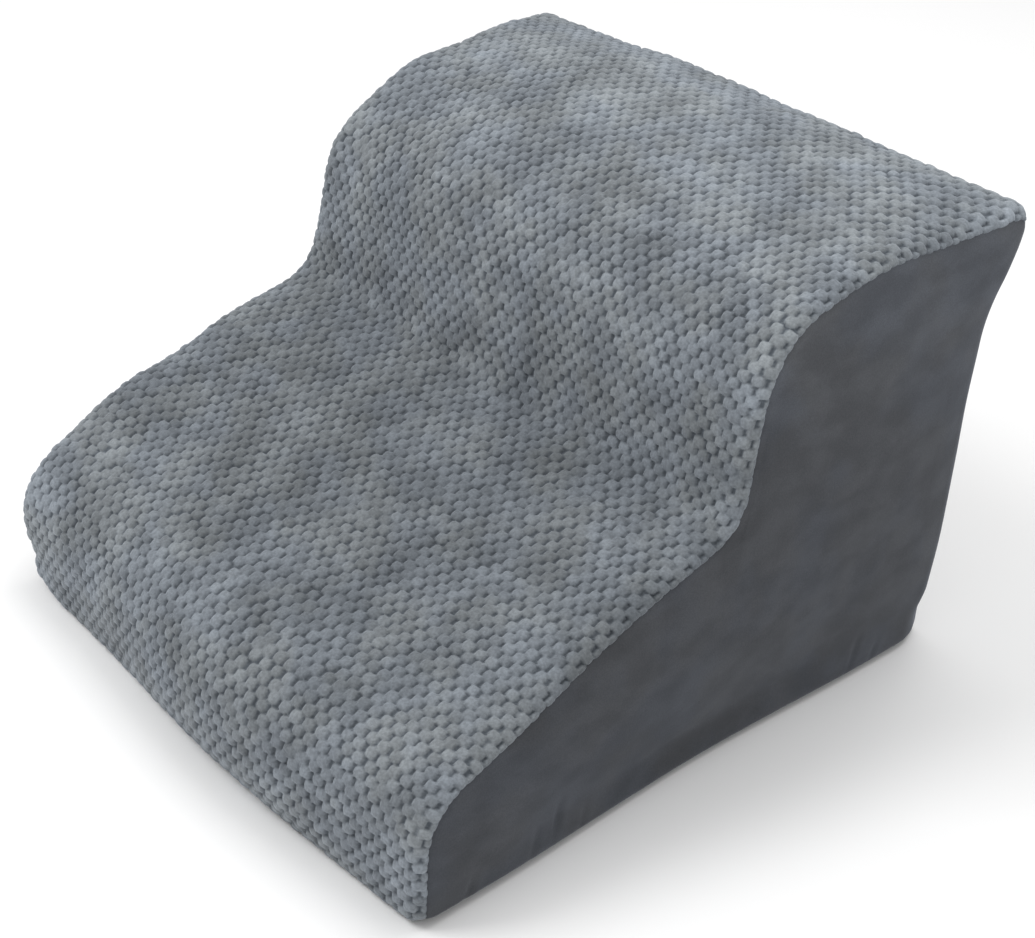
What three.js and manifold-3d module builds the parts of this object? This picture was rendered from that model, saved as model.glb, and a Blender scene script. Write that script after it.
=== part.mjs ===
// A two-tier foam dog ramp: one soft foam core inside a sewn, zipped cover.
// Millimetres, +Z up. A dog walks up towards +Y, and X runs across the ramp.
// The origin is the centre of the overall box, on the floor.

import * as THREE from "three";
import { mergeVertices } from "three/addons/utils/BufferGeometryUtils.js";
import Module from "manifold-3d";

const wasm = await Module();
wasm.setup();

// ---- Driving dimensions ----

const WIDTH = 400;
const LENGTH = 430; // from the front of the plush to the back of the cover
const HEIGHT = 312;
const GAP = 0.4; // between pieces that lie against each other

// The walking surface, seen from the side, from the front foot up and over to the back.
const FRONT_RISE = 48;
const NOSE_RADIUS = 47;
const TREAD_SLOPE = 22; // degrees above level
const VALLEY_RADIUS = 32;
const RISER_SLOPE = 84;
const RISER_LENGTH = 55;
const SHOULDER_RADIUS = 60;
const CROWN_RADIUS = 342;
const BACK_EDGE_RADIUS = 14;

// Fabrics
const PLUSH = 8; // backing and pile together
const VELVET = 2.4;
const BASE = 2.6; // non-slip fabric with its rubber dots
const BASE_INSET = 4; // how far the base's edge lies inside the cover's outline
const BASE_CORNER = 12;

// Number 5 coil zip, across the foot of the back
const ZIP_HEIGHT = 30; // of the zip's middle above the floor
const ZIP_WINDOW = 12; // between the folded edges of velvet on both sides of the zip
const ZIP_LENGTH = 360;
const TAPE = { length: 384, width: 13, thickness: 0.6, inner: 1.2 };
const COIL = { inner: 0.7, width: 2.6, thickness: 2.2 };
const STOP = { length: 3, thickness: 2.4 };
const SLIDER = { length: 12, width: 9.4, tail: 7.6, plate: 1.2, front: 1.6, back: 2.3 };
const FLANGE = { width: 1, depth: 2.6 };
const POST = { length: 2.4, width: 0.8 };
const CROWN = { length: 5.6, width: 1.8, rise: 2, thickness: 0.9 };
const PULL = { length: 27, width: 6.4, thickness: 1.2, eye: 3, eyeWidth: 3, arm: 1.1, hole: 3.2 };

// A blank care label, folded double and caught in the seam at one side of the back
const LABEL = { width: 42, height: 28, thickness: 0.8, bottom: 70, inset: 3 };

// ---- Levels that follow from them ----

const FLOOR_EDGE = BASE + GAP; // where the upright panels start
const COVER = PLUSH + GAP; // from the plush's outer face to the foam
const PANEL_TOP = HEIGHT - BACK_EDGE_RADIUS - GAP;
const PANEL_BACK = LENGTH - VELVET; // the back panel's inner face
const ZIP_PLANE = LENGTH - 1.4; // the middle of the coils' thickness
const TAPE_FACE = ZIP_PLANE - COIL.thickness / 2 - 0.3;
const PLATE_TOP = ZIP_PLANE + SLIDER.front + SLIDER.plate;
const PIVOT = PLATE_TOP + CROWN.rise / 2;
const OVERALL_LENGTH = PLATE_TOP + CROWN.rise + CROWN.thickness;
const SLIDER_AT = ZIP_LENGTH / 2 - SLIDER.length / 2 - 1; // at rest, at the closed end

const ramp = new THREE.Group();
// Everything is drawn with y = 0 at the front foot, and this group centres it.
ramp.position.y = -OVERALL_LENGTH / 2;

// ---- Materials ----

const plush = new THREE.MeshStandardMaterial({ color: 0x7f868d, roughness: 0.95 });
const velvet = new THREE.MeshStandardMaterial({ color: 0x4c4f55, roughness: 0.85 });
const nonSlip = new THREE.MeshStandardMaterial({ color: 0x2a2b2e, roughness: 0.9 });
const foam = new THREE.MeshStandardMaterial({ color: 0xe6e2d6, roughness: 1 });
const tapeCloth = new THREE.MeshStandardMaterial({ color: 0x3d3f44, roughness: 0.8 });
const satin = new THREE.MeshStandardMaterial({ color: 0xe9e9e6, roughness: 0.6 });
const nylon = new THREE.MeshStandardMaterial({ color: 0x34363a, roughness: 0.5 });
const zinc = new THREE.MeshStandardMaterial({ color: 0x6f7175, roughness: 0.35, metalness: 1 });

// ---- Solids from three.js geometry ----

/** A piece that joins the ramp, with y measured from the front foot. */
function add(name, geometry, material) {
  const mesh = new THREE.Mesh(geometry, material);
  mesh.name = name;
  ramp.add(mesh);
  return mesh;
}

/** A box between two corners. */
function box(low, high) {
  const size = high.map((value, i) => value - low[i]);
  const middle = high.map((value, i) => (value + low[i]) / 2);
  return new THREE.BoxGeometry(...size).translate(...middle);
}

/** An outline drawn from the side in (y, z), made into a slab from x = from to x = to. */
function slabAcross(outline, from, to) {
  const slab = new THREE.ExtrudeGeometry(outline, { depth: to - from, bevelEnabled: false });
  // The drawing's axes turn into y and z, and its depth into x.
  slab.applyMatrix4(new THREE.Matrix4().set(0, 0, 1, from, 1, 0, 0, 0, 0, 1, 0, 0, 0, 0, 0, 1));
  return slab;
}

/** An outline drawn from behind in (x, z), made into a slab from y = from to y = to. */
function slabAlong(outline, from, to, curveSegments = 6) {
  const slab = new THREE.ExtrudeGeometry(outline, {
    depth: to - from,
    bevelEnabled: false,
    curveSegments,
  });
  slab.rotateX(Math.PI / 2);
  return slab.translate(0, to, 0);
}

/** An outline drawn from above in (x, y), made into a slab from z = from to z = to. */
function slabUp(outline, from, to) {
  const slab = new THREE.ExtrudeGeometry(outline, { depth: to - from, bevelEnabled: false });
  return slab.translate(0, 0, from);
}

/** A closed geometry as a solid for joining and cutting. */
function solid(geometry) {
  const bare = geometry.clone();
  bare.deleteAttribute("normal");
  bare.deleteAttribute("uv");
  const merged = mergeVertices(bare, 1e-3);
  return new wasm.Manifold(
    new wasm.Mesh({
      numProp: 3,
      vertProperties: merged.attributes.position.array,
      triVerts: new Uint32Array(merged.index.array),
    }),
  );
}

/** A solid's surface as a geometry again. */
function geometryOf(made) {
  const mesh = made.getMesh();
  const geometry = new THREE.BufferGeometry();
  geometry.setAttribute("position", new THREE.BufferAttribute(mesh.vertProperties, 3));
  geometry.setIndex(new THREE.BufferAttribute(mesh.triVerts, 1));
  return geometry;
}

function joined(...geometries) {
  return geometryOf(geometries.map(solid).reduce((a, b) => a.add(b)));
}

/** A rectangle with round corners, centred on (x, y). */
function roundedRectangle(x, y, width, height, radius) {
  const [right, top] = [x + width / 2 - radius, y + height / 2 - radius];
  const [left, bottom] = [x - width / 2 + radius, y - height / 2 + radius];
  const quarter = Math.PI / 2;
  return new THREE.Shape()
    .absarc(right, top, radius, 0, quarter)
    .absarc(left, top, radius, quarter, 2 * quarter)
    .absarc(left, bottom, radius, 2 * quarter, 3 * quarter)
    .absarc(right, bottom, radius, 3 * quarter, 4 * quarter);
}

// ---- The walking surface's line ----

/** How far the straight lower tread runs, which the other stretches leave to it. */
function lowerTreadLength() {
  const slope = THREE.MathUtils.degToRad(TREAD_SLOPE);
  const riser = THREE.MathUtils.degToRad(RISER_SLOPE);
  const rise = (radius, from, to) => radius * Math.abs(Math.cos(to) - Math.cos(from));
  const others =
    FRONT_RISE +
    rise(NOSE_RADIUS, Math.PI / 2, slope) +
    rise(VALLEY_RADIUS, slope, riser) +
    RISER_LENGTH * Math.sin(riser) +
    rise(SHOULDER_RADIUS, riser, slope) +
    rise(CROWN_RADIUS, slope, 0);
  return (HEIGHT - others) / Math.sin(slope);
}

/**
 * The points of the line that lies this far inside the cover's outer face, in (y, z), from the
 * front foot to the back edge. A positive turn climbs more steeply, and is hollow.
 */
function surfaceLine(inset) {
  const stretches = [
    { run: FRONT_RISE - FLOOR_EDGE },
    { radius: NOSE_RADIUS, turn: TREAD_SLOPE - 90, steps: 9 },
    { run: lowerTreadLength() },
    { radius: VALLEY_RADIUS, turn: RISER_SLOPE - TREAD_SLOPE, steps: 8 },
    { run: RISER_LENGTH },
    { radius: SHOULDER_RADIUS, turn: TREAD_SLOPE - RISER_SLOPE, steps: 8 },
    { radius: CROWN_RADIUS, turn: -TREAD_SLOPE, steps: 6 },
    { runTo: LENGTH - BACK_EDGE_RADIUS },
    { radius: BACK_EDGE_RADIUS, turn: -90, steps: 5 },
  ];
  const at = new THREE.Vector2(inset, FLOOR_EDGE);
  const points = [at.clone()];
  let heading = 90;
  for (const { run, runTo, radius, turn, steps } of stretches) {
    if (radius === undefined) {
      const angle = THREE.MathUtils.degToRad(heading);
      const length = run ?? runTo - at.x;
      at.add(new THREE.Vector2(Math.cos(angle), Math.sin(angle)).multiplyScalar(length));
      points.push(at.clone());
      continue;
    }
    // A bulging turn tightens inside the cover, and a hollow one widens.
    const side = Math.sign(turn);
    const bend = radius + side * inset;
    const start = THREE.MathUtils.degToRad(heading);
    const centre = at.clone().add(
      new THREE.Vector2(-Math.sin(start), Math.cos(start)).multiplyScalar(side * bend),
    );
    for (let i = 1; i <= steps; i++) {
      const angle = THREE.MathUtils.degToRad(heading + (turn * i) / steps);
      at.set(Math.sin(angle), -Math.cos(angle)).multiplyScalar(side * bend).add(centre);
      points.push(at.clone());
    }
    heading += turn;
  }
  return points;
}

// ---- Foam ----

/** The single block of soft foam that everything else is sewn around. */
function foamCore() {
  const outline = new THREE.Shape(surfaceLine(COVER)).lineTo(LENGTH - COVER, FLOOR_EDGE);
  const half = WIDTH / 2 - VELVET - GAP;
  return slabAcross(outline, -half, half);
}

// ---- Cover ----

/** One strip of plush up the front, over both treads and round the top of the back. */
function treadPanel() {
  const outline = new THREE.Shape([...surfaceLine(0), ...surfaceLine(PLUSH).reverse()]);
  return slabAcross(outline, -WIDTH / 2, WIDTH / 2);
}

/** A velvet side, inside the plush strip's edge. */
function sidePanel(side) {
  const outline = new THREE.Shape(surfaceLine(COVER))
    .lineTo(LENGTH - COVER, PANEL_TOP)
    .lineTo(PANEL_BACK - GAP, PANEL_TOP)
    .lineTo(PANEL_BACK - GAP, FLOOR_EDGE);
  const outer = WIDTH / 2;
  const inner = outer - VELVET;
  return side > 0 ? slabAcross(outline, inner, outer) : slabAcross(outline, -outer, -inner);
}

/** The velvet back above the zip, or the narrow strip of it below. */
function backPiece(low, high) {
  return box([-WIDTH / 2, PANEL_BACK, low], [WIDTH / 2, LENGTH, high]);
}

/** The non-slip fabric that the ramp stands on. */
function basePanel() {
  const width = WIDTH - 2 * BASE_INSET;
  const length = LENGTH - 2 * BASE_INSET;
  return slabUp(roundedRectangle(0, LENGTH / 2, width, length, BASE_CORNER), 0, BASE);
}

/** The blank care label, lying against the back. */
function careLabel() {
  const left = -WIDTH / 2 + LABEL.inset;
  const face = LENGTH + GAP;
  return box(
    [left, face, LABEL.bottom],
    [left + LABEL.width, face + LABEL.thickness, LABEL.bottom + LABEL.height],
  );
}

// ---- Zip. side is +1 above its middle and -1 below ----

function zipTape(side) {
  const [near, far] = [TAPE.inner, TAPE.inner + TAPE.width].map((d) => ZIP_HEIGHT + side * d);
  return box(
    [-TAPE.length / 2, TAPE_FACE - TAPE.thickness, Math.min(near, far)],
    [TAPE.length / 2, TAPE_FACE, Math.max(near, far)],
  );
}

/** A row of nylon coil, drawn as the plain bar that its turns fill. */
function zipCoil(side) {
  const height = ZIP_HEIGHT + side * (COIL.inner + COIL.width / 2);
  const section = roundedRectangle(ZIP_PLANE, height, COIL.thickness, COIL.width, 0.8);
  return slabAcross(section, -ZIP_LENGTH / 2, ZIP_LENGTH / 2);
}

/** A crimped metal stop past one end of the coils, on one tape or across both. */
function zipStop(end, low, high) {
  const near = end * (ZIP_LENGTH / 2 + GAP);
  const far = near + end * STOP.length;
  const outline = roundedRectangle((near + far) / 2, (low + high) / 2, STOP.length, high - low, 0.8);
  return slabAlong(outline, TAPE_FACE + GAP, TAPE_FACE + GAP + STOP.thickness);
}

// The slider and its pull are drawn around the middle of the slider, with y as on the ramp.

/** The outline of a slider plate, from behind: wide at the leading end, narrow at the tail. */
function sliderPlate() {
  const [nose, wide, narrow] = [SLIDER.length / 2, SLIDER.width / 2, SLIDER.tail / 2];
  return new THREE.Shape()
    .moveTo(-nose, -narrow)
    .lineTo(nose - 3, -wide)
    .quadraticCurveTo(nose, -wide, nose, -wide + 2.5)
    .lineTo(nose, wide - 2.5)
    .quadraticCurveTo(nose, wide, nose - 3, wide)
    .lineTo(-nose, narrow);
}

/** Two plates around the coils, joined by the post that parts them, with a lip along each side. */
function sliderBody() {
  const front = ZIP_PLANE + SLIDER.front;
  const back = ZIP_PLANE - SLIDER.back;
  const overlap = 0.2; // of the pieces that are joined here
  const postEnd = SLIDER.length / 2 - 1;
  const lipHalf = SLIDER.length / 2 - 3.4;
  const lips = [-1, 1].map((side) => {
    const outer = side * (SLIDER.width / 2 - 0.05);
    const inner = outer - side * FLANGE.width;
    return box(
      [-lipHalf + 2.6, front - FLANGE.depth, Math.min(inner, outer)],
      [lipHalf, front + overlap, Math.max(inner, outer)],
    );
  });
  return joined(
    slabAlong(sliderPlate(), front, front + SLIDER.plate),
    slabAlong(sliderPlate(), back - SLIDER.plate, back),
    box(
      [postEnd - POST.length, back - overlap, -POST.width / 2],
      [postEnd, front + overlap, POST.width / 2],
    ),
    ...lips,
  );
}

/** The spring cap that arches over the slider and holds the pull's eye. */
function sliderCrown() {
  const [half, top] = [CROWN.length / 2, CROWN.rise + CROWN.thickness];
  const corner = 0.8;
  const arch = new THREE.Shape()
    .moveTo(-half, GAP / 4)
    .lineTo(-half, top - corner)
    .quadraticCurveTo(-half, top, -half + corner, top)
    .lineTo(half - corner, top)
    .quadraticCurveTo(half, top, half, top - corner)
    .lineTo(half, GAP / 4)
    .lineTo(half - CROWN.thickness, GAP / 4)
    .lineTo(half - CROWN.thickness, CROWN.rise)
    .lineTo(-half + CROWN.thickness, CROWN.rise)
    .lineTo(-half + CROWN.thickness, GAP / 4);
  const cap = new THREE.ExtrudeGeometry(arch, {
    depth: CROWN.width,
    bevelEnabled: false,
    curveSegments: 4,
  });
  return cap.translate(0, PLATE_TOP, -CROWN.width / 2);
}

/** The pull tab, lying along the zip towards its open end, with its eye round the crown. */
function pullTab() {
  const bar = PULL.thickness / 2;
  const eyeHalf = PULL.eyeWidth / 2;
  const outline = new THREE.Shape()
    .moveTo(bar, -eyeHalf - PULL.arm)
    .lineTo(bar, eyeHalf + PULL.arm)
    .lineTo(-bar - PULL.eye - 1, eyeHalf + PULL.arm)
    .lineTo(-bar - PULL.eye - 3, PULL.width / 2)
    .lineTo(-PULL.length + PULL.width / 2, PULL.width / 2)
    .absarc(-PULL.length + PULL.width / 2, 0, PULL.width / 2, Math.PI / 2, 1.5 * Math.PI)
    .lineTo(-bar - PULL.eye - 3, -PULL.width / 2)
    .lineTo(-bar - PULL.eye - 1, -eyeHalf - PULL.arm);
  outline.holes.push(
    roundedRectangle(-bar - PULL.eye / 2, 0, PULL.eye, PULL.eyeWidth, 0.5),
    new THREE.Path().absarc(-PULL.length + PULL.width / 2, 0, PULL.hole / 2, 0, 2 * Math.PI),
  );
  return slabAlong(outline, PIVOT - bar, PIVOT + bar, 8);
}

// ---- The assembly ----

add("foam_core", foamCore(), foam);
add("tread_panel", treadPanel(), plush);
add("side_panel_left", sidePanel(-1), velvet);
add("side_panel_right", sidePanel(1), velvet);
add("back_panel", backPiece(ZIP_HEIGHT + ZIP_WINDOW / 2, PANEL_TOP), velvet);
add("back_strip", backPiece(FLOOR_EDGE, ZIP_HEIGHT - ZIP_WINDOW / 2), velvet);
add("base_panel", basePanel(), nonSlip);
add("care_label", careLabel(), satin);

add("zip_tape_upper", zipTape(1), tapeCloth);
add("zip_tape_lower", zipTape(-1), tapeCloth);
add("zip_coil_upper", zipCoil(1), nylon);
add("zip_coil_lower", zipCoil(-1), nylon);

const chainHalf = COIL.inner + COIL.width;
add("zip_bottom_stop", zipStop(-1, ZIP_HEIGHT - chainHalf, ZIP_HEIGHT + chainHalf), zinc);
add("zip_top_stop_upper", zipStop(1, ZIP_HEIGHT + COIL.inner, ZIP_HEIGHT + chainHalf), zinc);
add("zip_top_stop_lower", zipStop(1, ZIP_HEIGHT - chainHalf, ZIP_HEIGHT - COIL.inner), zinc);

const sliderPieces = [
  add("zip_slider", sliderBody(), zinc),
  add("zip_slider_crown", sliderCrown(), zinc),
  add("zip_pull", pullTab(), zinc),
];
for (const piece of sliderPieces) piece.position.set(SLIDER_AT, 0, ZIP_HEIGHT);

export default ramp;
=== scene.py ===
"""Looks for the dog ramp: a nubbed plush walking surface, velvet sides and back, a dotted non-slip
underside and a coil zip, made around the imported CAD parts. Metres, +Z up, the low front faces -Y."""

import math

import bmesh
import bpy
import numpy as np
from mathutils import Matrix, Vector
from mathutils.kdtree import KDTree


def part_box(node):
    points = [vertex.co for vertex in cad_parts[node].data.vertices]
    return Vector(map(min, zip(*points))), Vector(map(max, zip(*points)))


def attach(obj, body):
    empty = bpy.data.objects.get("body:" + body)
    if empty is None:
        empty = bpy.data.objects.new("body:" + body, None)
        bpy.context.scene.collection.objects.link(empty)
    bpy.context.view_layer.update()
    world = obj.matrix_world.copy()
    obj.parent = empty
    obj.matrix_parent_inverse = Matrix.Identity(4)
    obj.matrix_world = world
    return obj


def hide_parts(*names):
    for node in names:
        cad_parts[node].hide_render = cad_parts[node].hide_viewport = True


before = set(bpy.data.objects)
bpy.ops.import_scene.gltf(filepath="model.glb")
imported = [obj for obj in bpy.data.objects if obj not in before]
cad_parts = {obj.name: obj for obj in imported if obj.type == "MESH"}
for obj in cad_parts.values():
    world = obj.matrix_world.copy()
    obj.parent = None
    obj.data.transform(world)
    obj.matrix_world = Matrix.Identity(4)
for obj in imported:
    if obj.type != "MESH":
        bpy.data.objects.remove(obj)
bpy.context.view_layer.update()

MM = 0.001

# ---- Sizes: places come from the CAD nodes, and the rest are the fabrics' own ----

TREAD_LOW, TREAD_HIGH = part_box("tread_panel")
PILE = 2.2 * MM  # the plush's nubs
BACKING = 1.6 * MM  # the knitted cloth under them
VELVET = 1.3 * MM
HALF = TREAD_HIGH.x - 2.6 * MM  # the cover's skin across the ramp, under the nubs that stand proud
FRONT = TREAD_LOW.y + PILE
BACK = TREAD_HIGH.y - 0.6 * MM
TOP = TREAD_HIGH.z - PILE
HEM = 3.0 * MM  # the bottom seam's height above the floor

SIDE_ROUND = 10 * MM  # the cover's rounding over the foam's long edges
BACK_ROUND = 14 * MM  # and down the back's two edges
FOOT_ROUND = 8 * MM  # and round the foot
FOOT_TURN = math.radians(45)  # how far the walking surface has turned under at its hem
SEAM_ANGLE = math.radians(58)  # how far round the edge the plush reaches before its seam

# The walking surface from the side, at the backing's level
FRONT_RISE = 48 * MM
NOSE_RADIUS = 43 * MM
TREAD_SLOPE = math.radians(22)
VALLEY_RADIUS = 30 * MM
RISER_SLOPE = math.radians(84)
RISER_LENGTH = 55 * MM
SHOULDER_RADIUS = 56 * MM
CROWN_RADIUS = 338 * MM
BACK_EDGE_RADIUS = 17 * MM
BACK_EDGE_TURN = math.radians(42)  # how far over the back's top edge the plush reaches before its seam

# The plush's nubs stand in staggered rows
NUB_ACROSS = 9.3 * MM  # between neighbours in a row
NUB_ROW = 5.8 * MM  # from row to row
NUB_HALF_WIDTH = 4.2 * MM
NUB_HALF_LENGTH = 3.65 * MM
NUB_SQUARENESS = 2.8  # its outline from above: 2 is an oval, and more is squarer
SPARE_NUBS = 2  # rows and columns before the strip's edges


# ---- Lines ----

def arc_length(points):
    """How far along a line each of its points is."""
    steps = np.linalg.norm(np.diff(points, axis=0), axis=1)
    return np.concatenate([[0], np.cumsum(steps)])


def resample(points, at):
    """The line's points at these distances along it."""
    along = arc_length(points)
    return np.stack([np.interp(at, along, axis) for axis in points.T], axis=1)


def smooth(values, sigma):
    """A row of values blurred by a bell curve of sigma samples, with its ends held."""
    reach = int(3 * sigma) + 1
    bell = np.exp(-0.5 * (np.arange(-reach, reach + 1) / sigma) ** 2)
    return np.convolve(np.pad(values, reach, mode="edge"), bell / bell.sum(), mode="valid")


def walking_line():
    """The skin's line from the front hem over both treads to the back's flat face: (y, z) points
    1 mm apart, and the angle at which it climbs at each."""
    quarter = math.pi / 2

    def rise(radius, from_angle, to_angle):
        return radius * abs(math.cos(to_angle) - math.cos(from_angle))

    known = (
        HEM
        + FRONT_RISE
        + rise(NOSE_RADIUS, quarter, TREAD_SLOPE)
        + rise(VALLEY_RADIUS, TREAD_SLOPE, RISER_SLOPE)
        + RISER_LENGTH * math.sin(RISER_SLOPE)
        + rise(SHOULDER_RADIUS, RISER_SLOPE, TREAD_SLOPE)
        + rise(CROWN_RADIUS, TREAD_SLOPE, 0)
    )
    tread = (TOP - known) / math.sin(TREAD_SLOPE)
    bends = [
        (FOOT_ROUND * FOOT_TURN, quarter),
        (FRONT_RISE - FOOT_ROUND * math.sin(FOOT_TURN), quarter),
        (NOSE_RADIUS * (quarter - TREAD_SLOPE), TREAD_SLOPE),
        (tread, TREAD_SLOPE),
        (VALLEY_RADIUS * (RISER_SLOPE - TREAD_SLOPE), RISER_SLOPE),
        (RISER_LENGTH, RISER_SLOPE),
        (SHOULDER_RADIUS * (RISER_SLOPE - TREAD_SLOPE), TREAD_SLOPE),
        (CROWN_RADIUS * TREAD_SLOPE, 0.0),
        (None, 0.0),
        (BACK_EDGE_RADIUS * quarter, -quarter),
    ]
    start = np.array([FRONT + FOOT_ROUND * (1 - math.cos(FOOT_TURN)), HEM])

    def walk(top_run):
        knots = np.cumsum([0] + [top_run if run is None else run for run, _ in bends])
        at = np.arange(0, knots[-1], MM)
        angle = smooth(np.interp(at, knots, [quarter + FOOT_TURN] + [turn for _, turn in bends]), 4)
        steps = np.stack([np.cos(angle), np.sin(angle)], axis=1) * MM
        return start + np.concatenate([[[0, 0]], np.cumsum(steps, axis=0)[:-1]]), angle

    points, _ = walk(0.0)
    return walk(BACK - points[:, 0].max())


LINE, CLIMB = walking_line()
LINE_LENGTH = (len(LINE) - 1) * MM
PLUSH_LENGTH = LINE_LENGTH - BACK_EDGE_RADIUS * (math.pi / 2 - BACK_EDGE_TURN)


def line_at(s):
    """The skin's (y, z) and its outward normal, at distances s along the walking line."""
    along = np.arange(len(LINE)) * MM
    y, z = (np.interp(s, along, axis) for axis in LINE.T)
    climb = np.interp(s, along, CLIMB)
    return y, z, -np.sin(climb), np.cos(climb)


def fall(distance, radius):
    """How far a face has fallen away, this far inside an edge that is rounded by radius."""
    inside = np.clip(radius - distance, 0, radius)
    return radius - np.sqrt(radius**2 - inside**2)


def half_width(z):
    """Half the skin's width at a height, narrower round the foot."""
    return HALF - fall(z - HEM + FOOT_ROUND * (1 - math.cos(FOOT_TURN)), FOOT_ROUND)


def ramp(value, start, end):
    """0 before start, 1 after end, and smooth between them."""
    share = np.clip((value - start) / (end - start), 0, 1)
    return share**2 * (3 - 2 * share)


# ---- The cover's skin, before it settles ----

EDGE_RUN = SIDE_ROUND * SEAM_ANGLE
STRIP_HALF = HALF - SIDE_ROUND + EDGE_RUN  # half the plush strip's width, measured along the cloth
ZIP_LOW, ZIP_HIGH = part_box("back_strip")[1].z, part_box("back_panel")[0].z
ZIP_MIDDLE = (ZIP_LOW + ZIP_HIGH) / 2


def tread_skin(w, s):
    """Points on the plush strip's skin: w across it along the cloth, s along the walking line."""
    y, z, ny, nz = line_at(s)
    flat = STRIP_HALF - EDGE_RUN
    turn = np.clip(np.abs(w) - flat, 0, None) / SIDE_ROUND
    reach = np.minimum(np.abs(w), flat) + SIDE_ROUND * np.sin(turn)
    reach = reach * half_width(z) / HALF
    depth = SIDE_ROUND * (1 - np.cos(turn))
    return np.stack([np.sign(w) * reach, y - ny * depth, z - nz * depth], axis=-1)


def inside_line(y, z):
    """How far places seen from the side lie inside the walking line."""
    at = np.stack([y, z], axis=-1)[..., None, :]
    starts, ends = LINE[:-1], LINE[1:]
    span = ends - starts
    share = ((at - starts) * span).sum(-1) / (span**2).sum(-1)
    nearest = starts + np.clip(share, 0, 1)[..., None] * span
    return np.sqrt(((at - nearest) ** 2).sum(-1)).min(-1)


def side_reach(y, z):
    """How far out the side's skin is, at places seen from the side."""
    from_line = np.stack([inside_line(y[row], z[row]) for row in range(len(y))])
    return half_width(z) - np.maximum(fall(from_line, SIDE_ROUND), fall(BACK - y, back_round(z)))


CORNER_RUN = 45 * MM  # how far down the back's side seams take to come round from the plush's corners
BACK_SEAM_ANGLE = math.radians(18)  # where they lie on the rounding lower down, from straight behind
NOSE_AT = FRONT_RISE + 0.5 * NOSE_RADIUS  # where the side's front edge ends and its upper edge starts


def back_round(z):
    """The radius of the rounding between side and back at heights z."""
    return BACK_ROUND + (SIDE_ROUND - BACK_ROUND) * ramp(z, LINE[-1, 1] - CORNER_RUN, LINE[-1, 1])


def back_profile(z):
    """How far back the back's face is at heights z: upright, then rounded in to the plush's seam."""
    edge = LINE[CLIMB < math.radians(-3)][::-1]
    return np.interp(z, edge[:, 1], edge[:, 0])


def back_seam(z):
    """The right-hand seam between side and back at heights z."""
    corner = tread_skin(np.array([STRIP_HALF]), np.array([PLUSH_LENGTH]))[0]
    near_top = ramp(z, corner[2] - CORNER_RUN, corner[2])
    turn = BACK_SEAM_ANGLE + (SEAM_ANGLE - BACK_SEAM_ANGLE) * near_top
    x = half_width(z) - back_round(z) * (1 - np.sin(turn))
    y = back_profile(z) - back_round(z) * (1 - np.cos(turn))
    miss = corner[:2] - [x[-1], y[-1]]
    return np.stack([x + miss[0] * near_top, y + miss[1] * near_top, z], axis=-1)


def side_edges(columns, rows):
    """The right side's bottom, top, front and back edges."""
    corner = tread_skin(np.array([STRIP_HALF]), np.array([0.0]))[0]
    upper = np.linspace(NOSE_AT, PLUSH_LENGTH, columns)
    top = tread_skin(np.full(columns, STRIP_HALF), upper)
    front = tread_skin(np.full(rows, STRIP_HALF), np.linspace(0, NOSE_AT, rows))
    back = back_seam(np.linspace(HEM, top[-1, 2], rows))
    share = 0.45 * (upper - upper[0]) / (upper[-1] - upper[0])
    share = share + 0.55 * (top[:, 1] - top[0, 1]) / (top[-1, 1] - top[0, 1])
    foot = half_width(HEM)
    y = np.linspace(corner[1], BACK - BACK_ROUND, 200)
    x = foot - fall(y - LINE[0, 0], SIDE_ROUND)
    turn = np.linspace(math.pi / 2, BACK_SEAM_ANGLE, 30)[1:]
    x = np.concatenate([x, foot - BACK_ROUND * (1 - np.sin(turn))])
    y = np.concatenate([y, BACK - BACK_ROUND * (1 - np.cos(turn))])
    line = np.stack([x, y, np.full(len(x), HEM)], axis=-1)
    bottom = resample(line, share * arc_length(line)[-1])
    bottom[0], bottom[-1] = corner, back[0]
    return bottom, top, front, back


def patch(bottom, top, left, right):
    """A grid of points that fills the space between four lines: rows go up, columns to the right."""
    u = np.linspace(0, 1, len(bottom))[None, :, None]
    v = np.linspace(0, 1, len(left))[:, None, None]
    across = (1 - v) * bottom[None] + v * top[None]
    upward = (1 - u) * left[:, None] + u * right[:, None]
    low = (1 - u) * bottom[0] + u * bottom[-1]
    high = (1 - u) * top[0] + u * top[-1]
    return across + upward - (1 - v) * low - v * high


def side_grid(columns, rows):
    """The right side's skin."""
    edges = side_edges(columns, rows)
    grid = patch(*edges)
    gaps = [side_reach(edge[None, :, 1], edge[None, :, 2])[0] - edge[:, 0] for edge in edges]
    slack = patch(*(np.repeat(gap[:, None], 3, axis=1) for gap in gaps))[..., 0]
    grid[..., 0] = side_reach(grid[..., 1], grid[..., 2]) - slack
    return grid


def back_grid(low, high, columns, rows):
    """The back's skin between a low edge and a high one, each a height or a row of heights."""
    share = np.linspace(-1, 1, columns)
    z = low + (high - low) * np.linspace(0, 1, rows)[:, None] * np.ones(columns)
    edge = back_seam(z[:, -1])
    x = edge[:, 0][:, None] * share
    y = back_profile(z) - fall(half_width(z) - np.abs(x), back_round(z))
    miss = (edge[:, 1] - y[:, -1])[:, None] * share**6
    return np.stack([x, y + miss, z], axis=-1)


# ---- How the soft cover settles ----

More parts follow.
